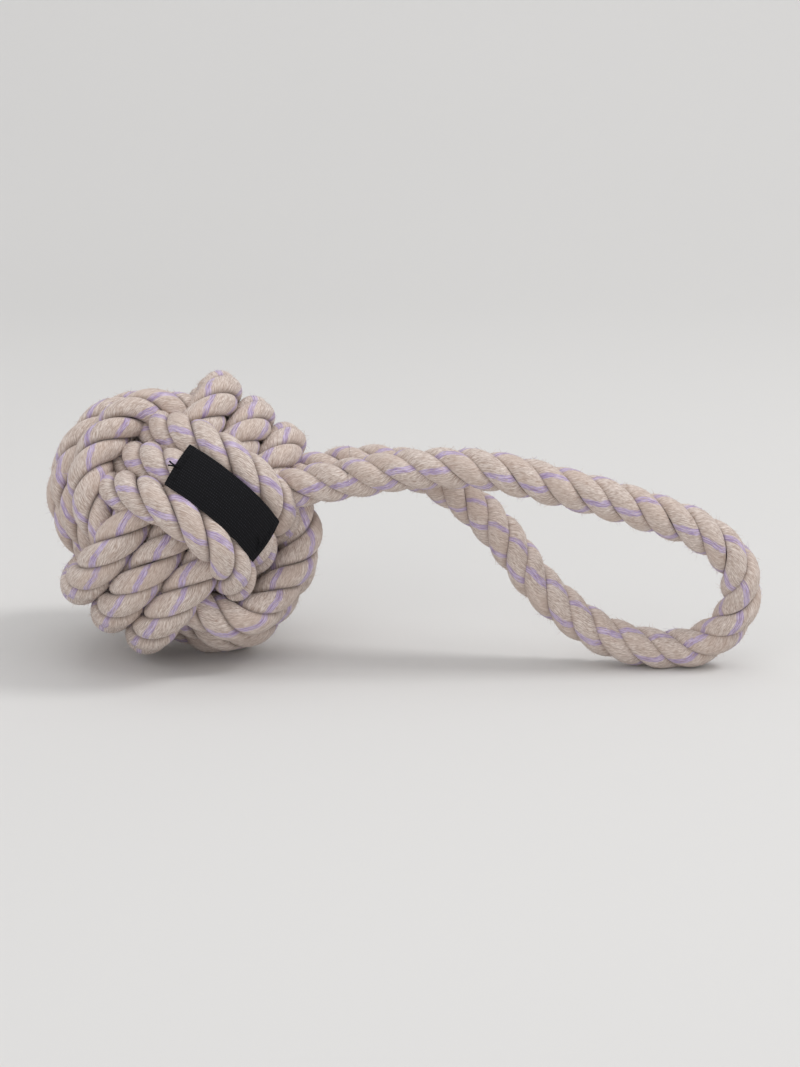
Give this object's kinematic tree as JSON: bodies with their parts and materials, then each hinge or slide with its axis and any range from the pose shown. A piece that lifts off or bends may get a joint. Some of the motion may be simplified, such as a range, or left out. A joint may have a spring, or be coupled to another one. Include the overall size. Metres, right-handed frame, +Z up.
{
  "type": "rope dog toy",
  "caption": "Knotted rope ball with a loop handle of the same rope and a sewn-on woven label, for a dog to tug, carry and fetch.",
  "frame": {"origin": "on the floor that the toy lies on, under the middle of its whole box", "axes": "+Z up, +X from the ball to the far end of the loop handle, the label facing -Y"},
  "size_m": [0.2666, 0.1102, 0.1034],
  "materials": {
    "rope": "three-strand laid cotton, beige with lavender tracer yarns, matt and slightly fuzzy",
    "label": "black woven ribbon with a fine rib, matt, bare of any print",
    "thread": "black sewing thread"
  },
  "bodies": {
    "fist": {"first_wraps": "rope", "second_wraps": "rope", "third_wraps": "rope", "core_coil": "rope", "label": "label", "label_stitch_left": "thread", "label_stitch_right": "thread"},
    "neck": {"neck_front": "rope", "neck_rear": "rope"},
    "handle": {"handle_loop": "rope"}
  },
  "joints": [
    {"name": "handle_sway", "type": "hinge", "parent": "fist", "child": "neck", "pos_m": [-0.0278, -0.0103, 0.0697], "axis": [0, 0, 1], "range_deg": [-45, 45], "deforming": ["neck_front", "neck_rear"]},
    {"name": "handle_lift", "type": "hinge", "parent": "neck", "child": "handle", "pos_m": [-0.0068, -0.0123, 0.0727], "axis": [0, -1, 0], "range_deg": [-25, 75]}
  ]
}
